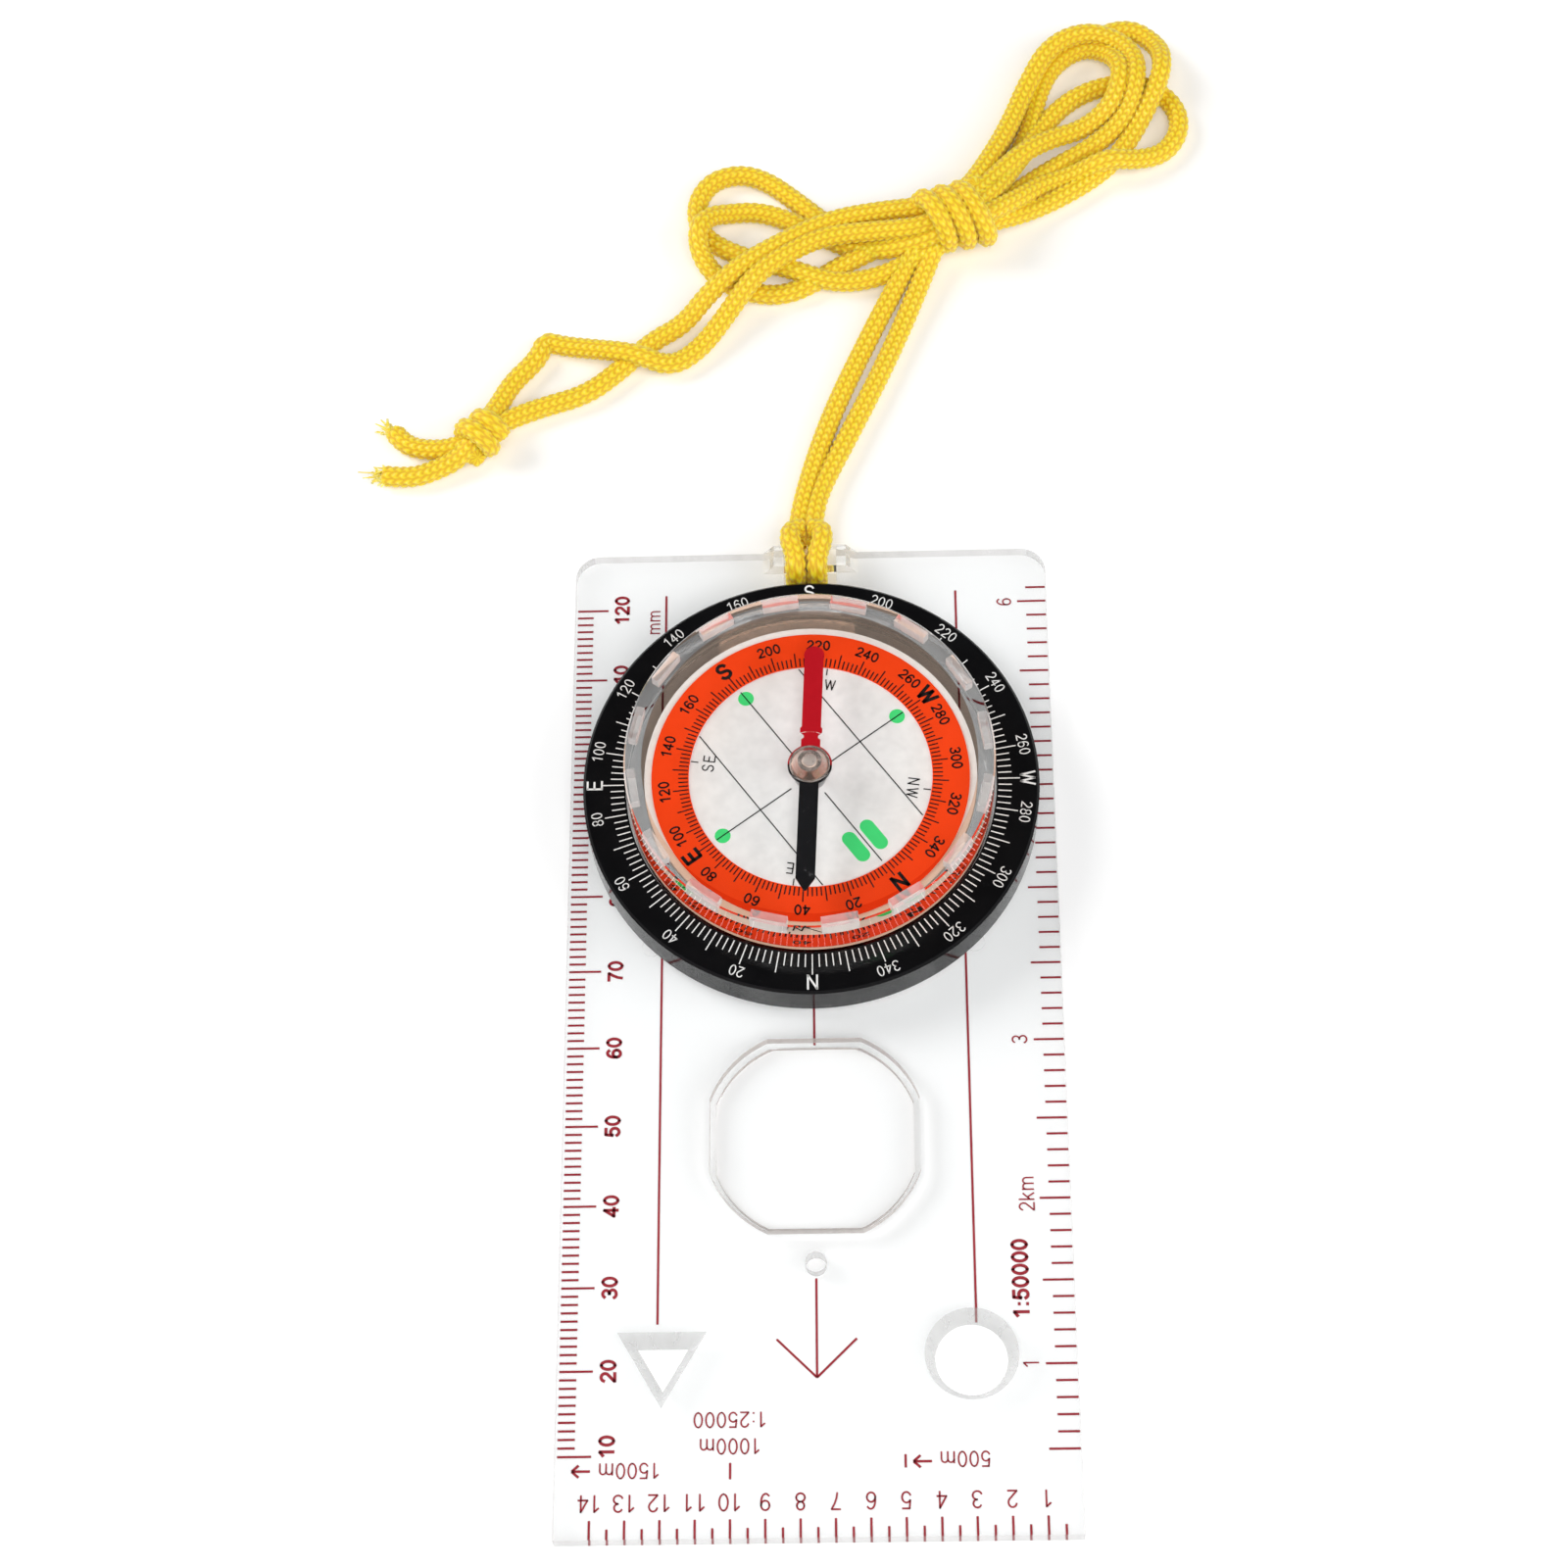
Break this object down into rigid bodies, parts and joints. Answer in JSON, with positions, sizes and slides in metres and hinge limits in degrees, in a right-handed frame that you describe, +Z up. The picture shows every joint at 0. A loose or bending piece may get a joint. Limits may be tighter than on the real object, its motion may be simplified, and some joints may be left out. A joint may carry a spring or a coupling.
{
  "type": "baseplate compass",
  "caption": "Clear baseplate compass for maps: turning bezel and liquid capsule with a magnetic needle, magnifier, map scales, template holes and a yellow cord lanyard.",
  "frame": {"origin": "middle of the baseplate's underside, on the surface it lies on", "axes": "+X to the plate's right edge, +Y along the plate to the lanyard end, +Z up out of the dial"},
  "size_m": [0.1067, 0.209, 0.0148],
  "materials": {
    "clear_plate": "clear moulded acrylic, crimson print on the underside",
    "clear_lens": "polished clear acrylic",
    "bezel_black": "glossy black moulding, white print on top",
    "keeper_black": "black moulded plastic",
    "clear_capsule": "clear moulded acrylic",
    "dial_base": "clear moulded plastic with the dial printed on it",
    "dial_orange": "orange print film",
    "plug": "clear plug",
    "pivot_steel": "ground steel",
    "jewel": "synthetic ruby",
    "needle_paint": "red and black paint",
    "hub_metal": "turned, bright",
    "cap_metal": "polished",
    "cord_yellow": "braided polyester cord"
  },
  "bodies": {
    "plate": {"baseplate": "clear_plate", "magnifier_lens": "clear_lens", "lanyard_hitch": "cord_yellow", "lanyard_stem_left": "cord_yellow", "lanyard_stem_right": "cord_yellow", "lanyard_wrap": "cord_yellow", "lanyard_loops_right": "cord_yellow", "lanyard_loops_left": "cord_yellow", "lanyard_tail_upper": "cord_yellow", "lanyard_tail_lower": "cord_yellow", "lanyard_end_knot": "cord_yellow", "lanyard_end_upper": "cord_yellow", "lanyard_end_lower": "cord_yellow"},
    "bezel": {"bezel_ring": "bezel_black", "bezel_keeper": "keeper_black"},
    "capsule": {"capsule_cover": "clear_capsule", "capsule_base": "dial_base", "dial_ring": "dial_orange", "filler_plug": "plug", "pivot_pin": "pivot_steel"},
    "needle": {"needle_bar": "needle_paint", "needle_hub": "hub_metal", "hub_cap": "cap_metal", "jewel_bearing": "jewel"}
  },
  "joints": [
    {"name": "bezel_turn", "type": "hinge", "parent": "plate", "child": "bezel", "pos_m": [0, 0.0284, 0.0055], "axis": [0, 0, 1], "continuous": true},
    {"name": "capsule_turn", "type": "hinge", "parent": "bezel", "child": "capsule", "pos_m": [0, 0.0284, 0.0055], "axis": [0, 0, 1], "continuous": true},
    {"name": "needle_swing", "type": "hinge", "parent": "capsule", "child": "needle", "pos_m": [0, 0.0284, 0.0113], "axis": [0, 0, 1], "continuous": true}
  ]
}
